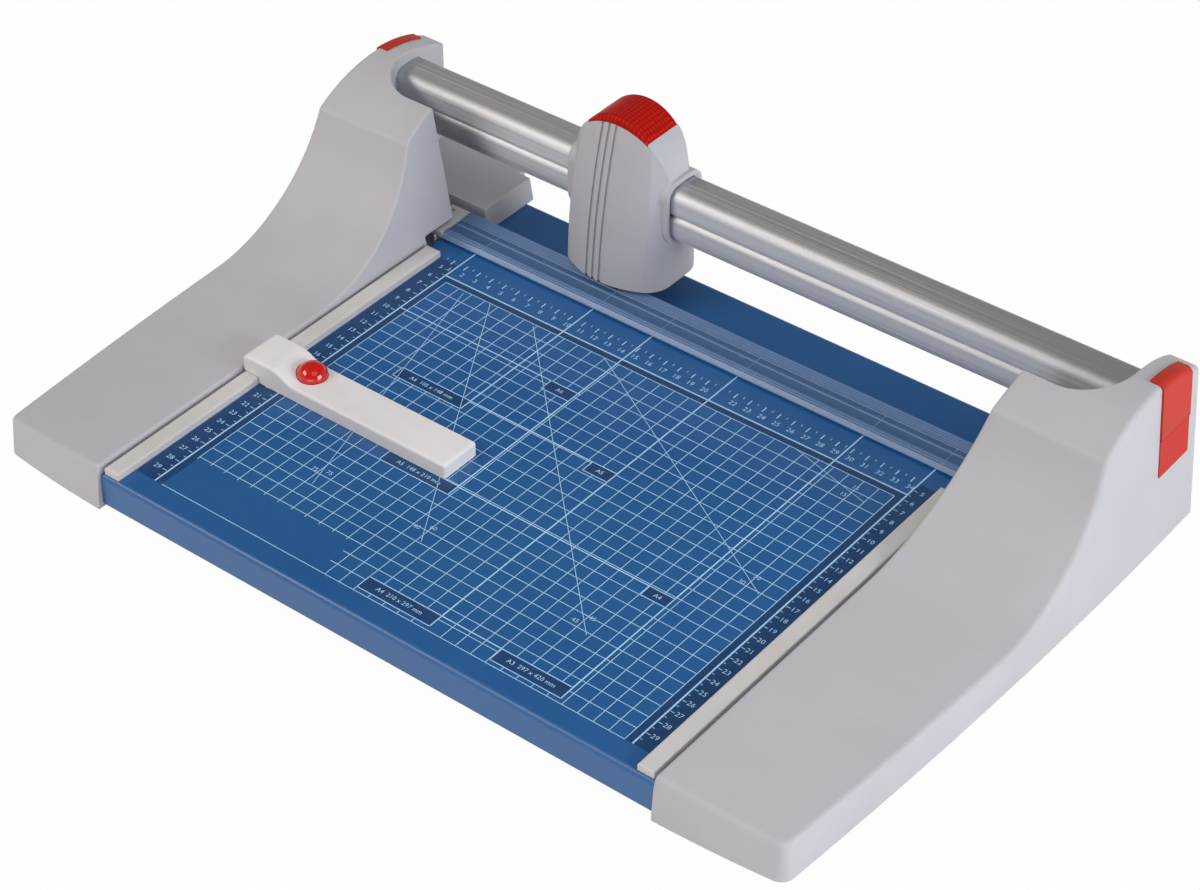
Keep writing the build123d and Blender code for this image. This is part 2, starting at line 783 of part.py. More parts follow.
def build_strip():
    """Clear clamp strip: front lip, a few fine ribs and a band of ribs along the cutting edge."""
    half = strip_end
    nose = strip_nose
    outline = Polyline(
        (strip_front, strip_bottom), (strip_rear, strip_bottom), (strip_rear, strip_top),
        (strip_front + nose, strip_top), (strip_front, strip_bottom + strip_thick - nose), close=True,
    )
    section = make_face(outline)
    ribs = [strip_rear - rib_width / 2 - i * rear_rib_pitch for i in range(rear_ribs)]
    ribs += [strip_front + nose + lip_rib, strip_front + nose + lip_rib + lip_pitch]
    ribs += [(strip_front + strip_rear) / 2]
    for y in ribs:
        section += Pos(y, strip_top + rib_height / 2) * Rectangle(rib_width, rib_height)
    return extrude(side_plane.offset(-half) * section, 2 * half)


def build_carrier():
    """Moulded end block of the strip, guided on two posts."""
    y0, y1 = strip_front, strip_rear
    low = strip_bottom - carrier_drop
    body = block(strip_end, strip_end + carrier_length, y0, y1, low, rib_top)
    for x, y in post_points():
        body -= rod(post_radius + post_play, (x, y, low), (x, y, rib_top))
    return body


def build_posts():
    """Steel pins that stand in the strip wells."""
    posts = Part()
    for side in sides.values():
        for x, y in post_points():
            posts += rod(post_radius, (side * x, y, slot_floor - post_sunk), (side * x, y, post_top))
    return posts


def coil(radius, wire, turns, low, high):
    """A compression spring between two heights, about the Z axis."""
    length = high - low - 2 * wire
    path = Pos(0, 0, low + wire) * Helix(pitch=length / turns, height=length, radius=radius)
    section = Plane(origin=path @ 0, z_dir=path % 0) * RegularPolygon(wire, 6)
    return sweep(section, path=path, is_frenet=True)


def build_clamp_springs():
    """Lift springs under the strip's carriers."""
    low = slot_floor + spring_play
    high = strip_bottom - carrier_drop - spring_play
    spring = coil(spring_radius, spring_wire, spring_turns, low, high)
    springs = Part()
    for side in sides.values():
        for x, y in post_points():
            springs += Pos(side * x, y, 0) * spring
    return springs


def head_plan(front_y, rear_y, face_half, bow, corner, bulge, inset):
    """Head in plan: bowed front and back, rounded corners, straight sides."""
    half = head_width / 2
    middle = (front_y + rear_y) / 2
    reach = (rear_y - front_y) / 2
    jaw = reach - bow - corner
    lines = Curve()
    for end in (-1, 1):
        cheek = middle + end * (reach - bow)
        crest = cheek - end * (corner / 2 - bulge)
        lines += ThreePointArc((-face_half, cheek), (0, middle + end * reach), (face_half, cheek))
        for side in (-1, 1):
            swell = (face_half + half) / 2 + bulge
            lines += ThreePointArc(
                (side * face_half, cheek), (side * swell, crest), (side * half, middle + end * jaw)
            )
    for side in (-1, 1):
        lines += Line((side * half, middle - jaw), (side * half, middle + jaw))
    return drawn_in(make_face(lines), inset)


def head_outline(inset):
    """Head from the front: upright sides, rounded shoulders and a crowned top."""
    half = head_width / 2
    shoulder = (shoulder_half + pad_half) / 2 + shoulder_full
    rise = (shoulder_height + pad_side) / 2 + shoulder_full
    lines = Curve() + [
        Line((-half, head_base - inset), (half, head_base - inset)),
        Line((half, head_base - inset), (shoulder_half, shoulder_height)),
        ThreePointArc((shoulder_half, shoulder_height), (shoulder, rise), (pad_half, pad_side)),
        ThreePointArc((pad_half, pad_side), (0, head_top), (-pad_half, pad_side)),
        ThreePointArc((-pad_half, pad_side), (-shoulder, rise), (-shoulder_half, shoulder_height)),
        Line((-shoulder_half, shoulder_height), (-half, head_base - inset)),
    ]
    face = make_face(lines)
    return drawn_in(face, inset)


def head_form(inset=0.0):
    """Outer form of the head about its own middle, drawn in by a wall's thickness."""
    foot = head_plan(cut - head_front, cut + head_rear, head_face, head_bow, head_corner, head_bulge, inset)
    waist = head_plan(
        cut - waist_front, cut + waist_rear, waist_face, waist_bow, waist_corner, waist_bulge, inset
    )
    crest = head_plan(
        cut + head_top_front, cut + head_top_rear,
        head_top_face, head_top_bow, head_top_corner, head_top_bulge, inset
    )
    levels = {head_base: foot, waist_height: waist, head_top: crest}
    body = loft([Pos(0, 0, height) * face for height, face in levels.items()])
    return body & extrude(front_plane * head_outline(inset), depth * 2, both=True)


def pad_cut(gap):
    """The pad's place in the crown of the head, let out by a gap."""
    half = pad_half + gap
    low = pad_side - pad_thick - gap
    high = head_top - pad_front - gap
    ceiling = head_top + past
    lines = Curve() + [
        ThreePointArc((-half, low), (0, high), (half, low)),
        Line((half, low), (half, ceiling)),
        Line((half, ceiling), (-half, ceiling)),
        Line((-half, ceiling), (-half, low)),
    ]
    return extrude(front_plane * make_face(lines), depth * 2, both=True)


def tunnel(grow, length, middle=0.0):
    """A length of the rail's outline, grown all round."""
    return extrude(side_plane.offset(middle - length / 2) * rail_outline(grow), length)


def build_head_housing():
    """Moulded head: tunnel for the rail, collars at its ends, grooved front and hollow foot."""
    liner = slide_play + bush_wall + bush_seat
    floor = rail_bottom - liner - tunnel_floor
    chest = rail_y - rail_width / 2 - liner - tunnel_floor
    body = head_form()
    body += tunnel(liner + collar, head_width + 2 * collar_proud)
    for i in range(head_grooves):
        x = -i * head_groove_pitch
        half = head_groove / 2
        slab = block(x - half, x + half, front, cut + head_top_front * 3, head_base - past, head_top)
        body -= slab - head_form(head_groove_depth)
    inside = head_form(head_wall)
    under = block(-head_width, head_width, front, rear, head_base - past, floor)
    ahead = block(-head_width, head_width, front, chest, head_base - past, shoulder_height)
    body -= inside & (under + ahead)
    body -= tunnel(liner, head_width * 2)
    return body - pad_cut(pad_gap)


def build_pad():
    """Red grip insert that forms the head's crown."""
    pad = head_form() & pad_cut(0)
    middle = cut + (head_top_front + head_top_rear) / 2
    for end in (-1, 1):
        across = [e for e in pad.edges() if e.bounding_box().size.X > pad_half / 2]
        rims = [e for e in across if end * (e.center().Y - middle) > 0]
        rims.sort(key=lambda e: e.center().Z)
        pad = fillet(rims[-2:], pad_round)
    return pad


def build_bush(end):
    """Plastic liner at one end of the head's tunnel, running on the rail."""
    middle = end * (head_half + collar_proud - bush_length / 2 - bush_inset)
    return tunnel(slide_play + bush_wall, bush_length, middle) - tunnel(slide_play, bush_length * 2, middle)


def build_head_plate():
    """Plate in the head's foot, with the slot that the blade passes through."""
    reach = head_width
    body = head_form(head_wall + plate_play) & block(-reach, reach, front, rear, head_base, head_base + plate)
    y0 = blade_y - hub_thick - slot_clear
    y1 = blade_y + blade_thick + lock_thick + slot_clear
    return body - block(-blade_slot_half, blade_slot_half, y0, y1, head_base - past, head_base + past)


def build_shoe():
    """Low-friction shoe that presses the strip as the head passes."""
    y1 = blade_y - hub_thick - slot_clear
    body = block(-shoe_half, shoe_half, y1 - shoe_depth, y1, rib_top + shoe_gap, head_base)
    ends = body.edges().filter_by(Axis.Y).group_by(Axis.Z)[0]
    return chamfer(ends, (head_base - rib_top) / 2)


def build_bracket():
    """Block under the rail tunnel that holds the blade's axle."""
    liner = slide_play + bush_wall + bush_seat
    ceiling = rail_bottom - liner - tunnel_floor
    y0 = blade_y + blade_thick + lock_thick + bracket_gap
    body = block(-bracket_half, bracket_half, y0, y0 + bracket_thick, head_base + plate, ceiling)
    return body - rod(axle_radius + screw_play, (0, y0, blade_z), (0, y0 + bracket_thick, blade_z))


def build_axle():
    """Shoulder screw through the hub into the bracket."""
    y1 = blade_y + blade_thick + lock_thick + bracket_gap + bracket_thick
    y0 = blade_y - hub_thick - spring_cone
    pin = rod(axle_radius, (0, y0, blade_z), (0, y1, blade_z))
    return pin + rod(axle_head_radius, (0, y0 - axle_head, blade_z), (0, y0, blade_z))


def ring(outer, inner, y0, y1):
    """A washer on the blade's axis."""
    return rod(outer, (0, y0, blade_z), (0, y1, blade_z)) - rod(inner, (0, y0, blade_z), (0, y1, blade_z))


def build_disc_spring():
    """Conical washer that pushes the blade against the counter blade."""
    y0 = blade_y - hub_thick - spring_cone
    thick = spring_cone / 3
    inner = axle_radius + cone_play
    outer = axle_head_radius + cone_rim
    rise = spring_cone - thick - cone_gap
    profile = Polyline(
        (inner, y0), (inner, y0 + thick), (outer, y0 + thick + rise), (outer, y0 + rise), close=True,
    )
    cone = revolve(make_face(profile), Axis.Y)
    return Pos(0, 0, blade_z) * cone


def build_blade():
    """Ground steel disc, bevelled on the side away from the counter blade."""
    y1 = blade_y + blade_thick
    edge = blade_thick / 4
    profile = Polyline(
        (blade_bore, blade_y), (blade_radius, blade_y), (blade_radius, blade_y + edge),
        (blade_radius - blade_bevel, y1), (blade_bore, y1), close=True,
    )
    return Pos(0, 0, blade_z) * revolve(make_face(profile), Axis.Y)


def build_hub():
    """Plastic hub: a flange against the blade and a sleeve through its bore."""
    y2 = blade_y + blade_thick + lock_thick
    body = ring(hub_radius, axle_radius + axle_play, blade_y - hub_thick, blade_y)
    return body + ring(blade_bore - screw_play, axle_radius + axle_play, blade_y, y2)


def build_lock_ring():
    """Ring on the hub's sleeve that holds the blade to the flange."""
    y1 = blade_y + blade_thick
    return ring(lock_radius, blade_bore, y1, y1 + lock_thick)


def build_backstop():
    """Moulded stop: a hump over the scale rail and a flat bar across the table."""
    x0 = -scale_inner - scale_width - stop_play - foot_plate
    low = table_top + stop_lift
    over = table_top + scale_height + stop_play
    bar_top = low + stop_bar
    hump_top = table_top + stop_hump
    inner = -scale_inner + stop_play
    slope_end = hump_end + hump_slope
    lines = Curve() + [
        Line((x0, over), (x0, hump_top)),
        Line((x0, hump_top), (hump_end, hump_top)),
        Spline((hump_end, hump_top), (slope_end, bar_top), tangents=[(1, 0), (1, 0)]),
        Line((slope_end, bar_top), (stop_end, bar_top)),
        Line((stop_end, bar_top), (stop_end, low)),
        Line((stop_end, low), (inner, low)),
        Line((inner, low), (inner, over)),
        Line((inner, over), (x0, over)),
    ]
    face = make_face(lines)
    face = fillet(face.vertices().sort_by_distance((x0, hump_top, 0))[0], stop_round * 2)
    face = fillet(face.vertices().sort_by_distance((stop_end, bar_top, 0))[0], stop_round)
    middle = cut - stop_ahead
    body = extrude(front_plane.offset(-middle) * face, stop_width / 2, both=True)
    tops = body.faces().filter_by(lambda f: f.normal_at().Z > 0.3)
    for end in (-1, 1):
        rim = [e for e in tops.edges() if abs(e.center().Y - middle - end * stop_width / 2) < 0.01]
        body = fillet(rim, stop_rim)
    ends = body.edges().filter_by(Axis.Z).sort_by(Axis.X)[-2:]
    body = fillet(ends, stop_round)
    floor = low + button_floor
    well = button_radius + button_play
    button_y = cut - button_ahead
    return body - rod(well, (button_x, button_y, floor), (button_x, button_y, hump_top))


def build_stop_foot():
    """Steel hook that runs in the gap between the scale rail and the housing."""
    x1 = -scale_inner - scale_width - stop_play
    middle = cut - stop_ahead
    half = stop_width / 2 - stop_round * 2
    over = table_top + scale_height + stop_play
    return block(x1 - foot_plate, x1, middle - half, middle + half, table_top + stop_play, over)


def build_button():
    """Red domed release button with a hollow for its spring."""
    low = table_top + stop_lift + button_floor + button_travel + button_seat
    rim = table_top + stop_lift + stop_bar + button_show
    ball_radius = (button_radius ** 2 + button_rise ** 2) / (2 * button_rise)
    ball = Pos(0, 0, rim + button_rise - ball_radius) * Sphere(ball_radius)
    reach = 2 * button_radius
    body = rod(button_radius, (0, 0, low), (0, 0, rim))
    body += ball & block(-reach, reach, -reach, reach, rim, rim + reach)
    body -= rod(button_spring_radius + button_spring_play, (0, 0, low), (0, 0, rim))
    return Pos(button_x, cut - button_ahead, 0) * body


def build_button_spring():
    """Return spring under the button."""
    floor = table_top + stop_lift + button_floor
    rim = table_top + stop_lift + stop_bar + button_show
    spring = coil(button_spring_radius, spring_wire, spring_turns - 1, floor + spring_play, rim - spring_play)
    return Pos(button_x, cut - button_ahead, 0) * spring


def main():
    os.makedirs("parts", exist_ok=True)
    save("table_sheet", build_table())
    save("counter_blade", build_counter_blade())
    save("counter_blade_screws", build_counter_screws())
    save("front_cross_tube", build_tube("front"))
    save("rear_cross_tube", build_tube("rear"))
    housing = build_housing()
    base_plate = build_base_plate()
    scale_rail = build_scale_rail()
    anchor = build_anchor()
    clip = build_clip()
    carrier = build_carrier()
    for side in sides:
        save(f"{side}_housing", handed(side, housing))
        save(f"{side}_base_plate", handed(side, base_plate))
        save(f"{side}_scale_rail", handed(side, scale_rail))
        save(f"{side}_rail_anchor", handed(side, anchor))
        save(f"{side}_end_clip", handed(side, clip))
        save(f"{side}_strip_carrier", handed(side, carrier))
        save(f"{side}_slide_bush", Pos(head_x, 0, 0) * build_bush(sides[side]))
    save("base_plate_screws", build_plate_screws())
    save("cross_tube_screws", build_tube_screws())
    save("rubber_feet", build_feet())
    save("guide_rail", build_rail())
    save("rail_anchor_bolts", build_anchor_bolts())
    save("clamp_strip", build_strip())
    save("clamp_posts", build_posts())
    save("clamp_springs", build_clamp_springs())
    head = {
        "head_housing": build_head_housing(),
        "grip_pad": build_pad(),
        "head_base_plate": build_head_plate(),
        "presser_shoe": build_shoe(),
        "blade_bracket": build_bracket(),
        "blade_axle": build_axle(),
        "blade_disc_spring": build_disc_spring(),
        "rotary_blade": build_blade(),
        "blade_hub": build_hub(),
        "blade_lock_ring": build_lock_ring(),
    }
    for name, piece in head.items():
        save(name, Pos(head_x, 0, 0) * piece)
    save("backstop_bar", build_backstop())
    save("backstop_foot", build_stop_foot())
    save("release_button", build_button())
    save("release_button_spring", build_button_spring())


main()
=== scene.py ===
from math import cos, radians, sin

import bmesh
import bpy
from mathutils import Matrix, Vector


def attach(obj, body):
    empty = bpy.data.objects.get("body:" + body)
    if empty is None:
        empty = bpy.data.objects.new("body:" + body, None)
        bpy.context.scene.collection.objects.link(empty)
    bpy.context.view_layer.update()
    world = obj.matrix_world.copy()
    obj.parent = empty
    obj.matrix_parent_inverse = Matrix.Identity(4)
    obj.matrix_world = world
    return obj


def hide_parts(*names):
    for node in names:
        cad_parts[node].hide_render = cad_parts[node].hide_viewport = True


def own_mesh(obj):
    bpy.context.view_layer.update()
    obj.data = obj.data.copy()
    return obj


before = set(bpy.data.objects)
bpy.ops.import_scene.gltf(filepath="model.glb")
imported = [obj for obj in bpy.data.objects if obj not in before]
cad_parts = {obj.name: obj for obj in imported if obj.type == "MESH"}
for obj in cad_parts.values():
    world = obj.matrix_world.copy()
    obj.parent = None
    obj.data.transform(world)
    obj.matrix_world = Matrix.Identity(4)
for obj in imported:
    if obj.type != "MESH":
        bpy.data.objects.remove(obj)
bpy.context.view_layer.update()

# The photographer's stand: one camera at the right of the front edge, looking down along the trimmer,
# with a long lens so that the far housing hardly shrinks. Nothing is shifted or out of focus.
scene = bpy.context.scene
scene.view_settings.view_transform = "Standard"
camera_spot = Vector((0.8165, -1.02735, 1.0819))
turn, tilt, roll = radians(38.001), radians(38.823), radians(0.211)
back = Vector((sin(turn) * cos(tilt), -cos(turn) * cos(tilt), sin(tilt)))
level = Vector((cos(turn), sin(turn), 0.0))
upright = back.cross(level)
across = cos(roll) * level + sin(roll) * upright
rise = cos(roll) * upright - sin(roll) * level
lens = bpy.data.cameras.new("product_camera")
lens.sensor_width = 36.0
lens.lens = 91.05
lens.clip_end = 30.0
camera = bpy.data.objects.new("product_camera", lens)
camera.matrix_world = Matrix.Translation(camera_spot) @ Matrix((across, rise, back)).transposed().to_4x4()
scene.collection.objects.link(camera)
scene.camera = camera


# White paper sweep under and behind the trimmer: plain white paper that lies loose under the feet, pale
# enough to vanish in the picture while it still takes their soft shadow.
def wire(tree, *joins):
    """Join pairs of sockets, each from an output to an input."""
    for source, target in joins:
        tree.links.new(source, target)


def seen_directly(tree):
    """Mask of the rays that show a surface: the camera's own, mirrored ones, and those through clear pieces."""
    path = tree.nodes.new("ShaderNodeLightPath")
    mask = path.outputs["Is Camera Ray"]
    for kind in ("Is Glossy Ray", "Is Transmission Ray"):
        either = tree.nodes.new("ShaderNodeMath")
        either.operation = "MAXIMUM"
        wire(tree, (mask, either.inputs[0]), (path.outputs[kind], either.inputs[1]))
        mask = either.outputs[0]
    return mask


sweep_half, sweep_drop, sweep_white = 6.0, 0.0001, 0.97
sweep_mesh = bpy.data.meshes.new("paper_sweep")
sweep_form = bmesh.new()
bmesh.ops.create_grid(sweep_form, x_segments=8, y_segments=8, size=sweep_half)
sweep_form.to_mesh(sweep_mesh)
sweep_form.free()
paper_sweep = bpy.data.objects.new("paper_sweep", sweep_mesh)
paper_sweep.location.z = -sweep_drop
scene.collection.objects.link(paper_sweep)
paper = bpy.data.materials.new("sweep_paper")
paper.use_nodes = True
tree = paper.node_tree
tree.nodes.clear()
fibre = tree.nodes.new("ShaderNodeTexNoise")
fibre.inputs["Scale"].default_value = 900.0
shade = tree.nodes.new("ShaderNodeMapRange")
shade.inputs["To Min"].default_value = 0.86
shade.inputs["To Max"].default_value = 0.9
matt = tree.nodes.new("ShaderNodeBsdfDiffuse")
glow = tree.nodes.new("ShaderNodeEmission")
glow.inputs["Strength"].default_value = 1.0
lift = tree.nodes.new("ShaderNodeMath")
lift.operation = "MULTIPLY"
lift.inputs[1].default_value = sweep_white
blend = tree.nodes.new("ShaderNodeMixShader")
out = tree.nodes.new("ShaderNodeOutputMaterial")
wire(
    tree,
    (fibre.outputs["Fac"], shade.inputs["Value"]),
    (shade.outputs["Result"], matt.inputs["Color"]),
    (seen_directly(tree), lift.inputs[0]),
    (lift.outputs[0], blend.inputs["Fac"]),
    (matt.outputs[0], blend.inputs[1]),
    (glow.outputs[0], blend.inputs[2]),
    (blend.outputs[0], out.inputs["Surface"]),
)
sweep_mesh.materials.append(paper)

# The white room round the set: a soft ceiling lights it from above, while reflections see the pale walls
# at the level of the sweep and a dim overhead.
room = bpy.data.worlds.new("white_room")
scene.world = room
room.use_nodes = True
tree = room.node_tree
tree.nodes.clear()
place = tree.nodes.new("ShaderNodeTexCoord")
apart = tree.nodes.new("ShaderNodeSeparateXYZ")
lit = tree.nodes.new("ShaderNodeMapRange")
lit.inputs["To Min"].default_value = 0.0
lit.inputs["To Max"].default_value = 0.81
shown = tree.nodes.new("ShaderNodeMapRange")
shown.interpolation_type = "SMOOTHSTEP"
shown.inputs["From Min"].default_value = 0.04
shown.inputs["From Max"].default_value = 0.5
shown.inputs["To Min"].default_value = 1.0
shown.inputs["To Max"].default_value = 0.14
choose = tree.nodes.new("ShaderNodeMix")
choose.data_type = "FLOAT"
cove = tree.nodes.new("ShaderNodeBackground")
out = tree.nodes.new("ShaderNodeOutputWorld")
wire(
    tree,
    (place.outputs["Generated"], apart.inputs[0]),
    (apart.outputs["Z"], lit.inputs["Value"]),
    (apart.outputs["Z"], shown.inputs["Value"]),
    (lit.outputs["Result"], choose.inputs["A"]),
    (shown.outputs["Result"], choose.inputs["B"]),
    (seen_directly(tree), choose.inputs["Factor"]),
    (choose.outputs["Result"], cove.inputs["Strength"]),
    (cove.outputs[0], out.inputs["Surface"]),
)

# Four softboxes: a long warm one at the front left that draws the highlight along the rail, a cool one at
# the right that lifts the outer wall of the near housing, a low one in front and a weak one above.
# Each has its spot and size in metres, its power in watts and its hue.
softboxes = {
    "softbox_front_left": ((-1.5, -1.9, 1.9), (1.6, 0.9), 32.5, (1.0, 0.91, 0.84)),
    "softbox_right": ((2.4, 0.3, 0.75), (1.4, 1.0), 36.0, (0.9, 0.92, 1.0)),
    "softbox_low": ((1.0, -2.0, 0.3), (1.6, 0.5), 5.0, (1.0, 0.98, 0.98)),
    "softbox_over": ((1.2, -0.5, 2.0), (1.4, 1.2), 5.0, (0.76, 0.89, 1.0)),
}
lit_spot = Vector((0.0, 0.0, 0.05))
for name, (spot, size, power, hue) in softboxes.items():
    lamp = bpy.data.lights.new(name, "AREA")
    lamp.shape = "RECTANGLE"
    lamp.size, lamp.size_y = size
    lamp.energy = power
    lamp.color = hue
    softbox = bpy.data.objects.new(name, lamp)
    softbox.location = spot
    softbox.rotation_euler = (lit_spot - Vector(spot)).to_track_quat("-Z", "Y").to_euler()
    scene.collection.objects.link(softbox)


# Base plates under the housings, closing them from below. Black moulded plastic with a fine spark-eroded
# grain, held by six screws.
mix_first, mix_second, mix_result = 6, 7, 2


def effect_group(name, inputs):
    """A node group with these inputs, and the height, tone and gloss that a finish takes from it."""
    group = bpy.data.node_groups.new(name, "ShaderNodeTree")
    for label, value in inputs.items():
        kind = "NodeSocketVector" if isinstance(value, tuple) else "NodeSocketFloat"
        socket = group.interface.new_socket(label, in_out="INPUT", socket_type=kind)
        socket.default_value = value
    for label in ("Height", "Tone", "Roughness"):
        group.interface.new_socket(label, in_out="OUTPUT", socket_type="NodeSocketFloat")
    return group, group.nodes.new("NodeGroupInput"), group.nodes.new("NodeGroupOutput")


def own_place(tree):
    """Where a point lies on its piece."""
    return tree.nodes.new("ShaderNodeTexCoord").outputs["Object"]


def full_tone(tree, noise):
    """The middle of a noise, spread to a tone from nought to one."""
    tone = tree.nodes.new("ShaderNodeMapRange")
    tone.inputs["From Min"].default_value = 0.3
    tone.inputs["From Max"].default_value = 0.7
    wire(tree, (noise.outputs["Fac"], tone.inputs["Value"]))
    return tone.outputs["Result"]


def moulded_grain():
    """Grain of a moulded surface: fine height, a slow change of tone and a little change of gloss."""
    group, given, taken = effect_group("moulded_grain", {"Grain": 1600.0, "Patch": 18.0, "Gloss": 0.5})
    gloss_change = 0.12
    spot = own_place(group)
    fine = group.nodes.new("ShaderNodeTexNoise")
    fine.inputs["Detail"].default_value = 3.0
    broad = group.nodes.new("ShaderNodeTexNoise")
    broad.inputs["Detail"].default_value = 5.0
    broad.inputs["Roughness"].default_value = 0.6
    tone = full_tone(group, broad)
    sheen = group.nodes.new("ShaderNodeMath")
    sheen.operation = "MULTIPLY_ADD"
    sheen.inputs[1].default_value = gloss_change
    centred = group.nodes.new("ShaderNodeMath")
    centred.operation = "SUBTRACT"
    centred.inputs[1].default_value = gloss_change / 2
    wire(
        group,
        (spot, fine.inputs["Vector"]),
        (spot, broad.inputs["Vector"]),
        (given.outputs["Grain"], fine.inputs["Scale"]),
        (given.outputs["Patch"], broad.inputs["Scale"]),
        (tone, sheen.inputs[0]),
        (given.outputs["Gloss"], sheen.inputs[2]),
        (sheen.outputs[0], centred.inputs[0]),
        (fine.outputs["Fac"], taken.inputs["Height"]),
        (tone, taken.inputs["Tone"]),
        (centred.outputs[0], taken.inputs["Roughness"]),
    )
    return group


def shader_of(material):
    """The shader of a finish."""
    return material.node_tree.nodes["Principled BSDF"]


def colour_mix(tree, first, second):
    """A mix of two colours, by a mask that is wired to it."""
    mix = tree.nodes.new("ShaderNodeMix")
    mix.data_type = "RGBA"
    mix.inputs[mix_first].default_value = (*first, 1.0)
    mix.inputs[mix_second].default_value = (*second, 1.0)
    return mix


def surfaced(name, group, dark, light, depth, strength, **settings):
    """A finish between two near colours, whose node group gives its tone, gloss and fine height."""
    material = bpy.data.materials.new(name)
    material.use_nodes = True
    tree = material.node_tree
    shader = shader_of(material)
    effect = tree.nodes.new("ShaderNodeGroup")
    effect.node_tree = group
    for label, value in settings.items():
        effect.inputs[label].default_value = value
    colour = colour_mix(tree, dark, light)
    bump = tree.nodes.new("ShaderNodeBump")
    bump.inputs["Strength"].default_value = strength
    bump.inputs["Distance"].default_value = depth
    wire(
        tree,
        (effect.outputs["Tone"], colour.inputs[0]),
        (colour.outputs[mix_result], shader.inputs["Base Color"]),
        (effect.outputs["Roughness"], shader.inputs["Roughness"]),
        (effect.outputs["Height"], bump.inputs["Height"]),
        (bump.outputs["Normal"], shader.inputs["Normal"]),
    )
    return material


grain_group = moulded_grain()


def moulded(name, dark, light, gloss, grain=1600.0, patch=18.0, depth=0.00002, strength=0.35):
    """A moulded or coated finish, with grain in its height and its gloss."""
    return surfaced(name, grain_group, dark, light, depth, strength, Grain=grain, Patch=patch, Gloss=gloss)


def dress(material, *names):
    """Give one finish to CAD pieces."""
    for name in names:
        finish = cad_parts[name].data.materials
        finish.clear()
        finish.append(material)


black_moulding = moulded("black_moulding", dark=(0.018, 0.018, 0.019), light=(0.03, 0.03, 0.031), gloss=0.55)
dress(black_moulding, "right_base_plate", "left_base_plate")

# Rubber feet under the base plates, each with a stud pressed up through the plate. Soft black rubber
# with a dusty bloom on its sides.
rubber = moulded(
    "foot_rubber", dark=(0.012, 0.012, 0.012), light=(0.032, 0.031, 0.03), gloss=0.8, grain=2600.0, patch=160.0,
)
dress(rubber, "rubber_feet")


# Screws, bolts and guide pins: zinc-plated steel with the fine lines of cold forming and a faint change
# of colour in the plating.
def drawn_lines():
    """Fine lines along one direction, as drawing, brushing or grinding leaves them."""
    group, given, taken = effect_group("drawn_lines", {"Stretch": (4.0, 900.0, 900.0), "Gloss": 0.3})
    pulled = group.nodes.new("ShaderNodeVectorMath")
    pulled.operation = "MULTIPLY"
    lines = group.nodes.new("ShaderNodeTexNoise")
    lines.inputs["Scale"].default_value = 1.0
    lines.inputs["Detail"].default_value = 4.0
    lines.inputs["Roughness"].default_value = 0.65
    tone = full_tone(group, lines)
    rough = group.nodes.new("ShaderNodeMath")
    rough.operation = "MULTIPLY_ADD"
    rough.inputs[1].default_value = 0.14
    wire(
        group,
        (own_place(group), pulled.inputs[0]),
        (given.outputs["Stretch"], pulled.inputs[1]),
        (pulled.outputs[0], lines.inputs["Vector"]),
        (tone, rough.inputs[0]),
        (given.outputs["Gloss"], rough.inputs[2]),
        (lines.outputs["Fac"], taken.inputs["Height"]),
        (tone, taken.inputs["Tone"]),
        (rough.outputs[0], taken.inputs["Roughness"]),
    )
    return group


lines_group = drawn_lines()


def bare_metal(name, dark, light, gloss, stretch, depth=0.00001, strength=0.2):
    """A metal finish whose drawn lines show in its colour, gloss and height."""
    material = surfaced(name, lines_group, dark, light, depth, strength, Stretch=stretch, Gloss=gloss)
    shader_of(material).inputs["Metallic"].default_value = 1.0
    return material


zinc = bare_metal(
    "zinc_plating", dark=(0.42, 0.43, 0.45), light=(0.55, 0.56, 0.58), gloss=0.28, stretch=(300.0, 300.0, 60.0),
)
dress(
    zinc, "base_plate_screws", "cross_tube_screws", "counter_blade_screws", "rail_anchor_bolts",
    "clamp_posts",
)

# Coil springs under the clamp strip and inside the release button: plated wire, standing loose in its
# seat.
springs = {
    "clamp_springs": ("base", "clamp_press", 0.0013),
    "release_button_spring": ("backstop", "button_press", 0.002),
}
for name, (body, joint, travel) in springs.items():
    coil = bpy.data.objects.new(name + "_wire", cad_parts[name].data.copy())
    coil.matrix_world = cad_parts[name].matrix_world.copy()
    scene.collection.objects.link(coil)
    coil.data.materials.clear()
    coil.data.materials.append(zinc)
    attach(coil, body)
    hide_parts(name)
    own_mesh(coil)

# Square steel tubes under the table, from housing to housing, each held by a screw at both ends.
# Matt black paint, baked on.
black_paint = moulded(
    "tube_paint", dark=(0.02, 0.02, 0.021), light=(0.034, 0.034, 0.036), gloss=0.45, grain=700.0, patch=30.0,
)
dress(black_paint, "front_cross_tube", "rear_cross_tube")

# The table: one folded steel sheet in satin blue powder coat, with the slight orange peel that
# the coat keeps from its flow in the oven.
blue_coat = moulded(
    "blue_powder_coat", dark=(0.0055, 0.096, 0.298), light=(0.0085, 0.113, 0.335), gloss=0.4,
    grain=520.0, patch=7.0, depth=0.00003, strength=0.22,
)
shader_of(blue_coat).inputs["Specular IOR Level"].default_value = 0.72
dress(blue_coat, "table_sheet")

# Screen print on the table: a 10 mm grid inside a frame, paper format lines with their boxes, angle
# lines, and centimetre scales along the cutting edge and both sides. White and dark blue ink, one pass
# on the other. Its sizes are in millimetres, from the left scale rail and from the cutting edge.
print_left, print_cut, print_z, ink_step = -179.0, 132.25, 25.04, 0.03
capital_share = 0.7


def printed(name, stack):
    """An empty print layer: a bmesh, and how high the ink of this pass stands."""
    return {"name": name, "form": bmesh.new(), "z": print_z + ink_step * stack}


def on_table(layer, u, v):
    """Point of the print, in metres."""
    return Vector((print_left + u, print_cut - v, layer["z"])) / 1000.0


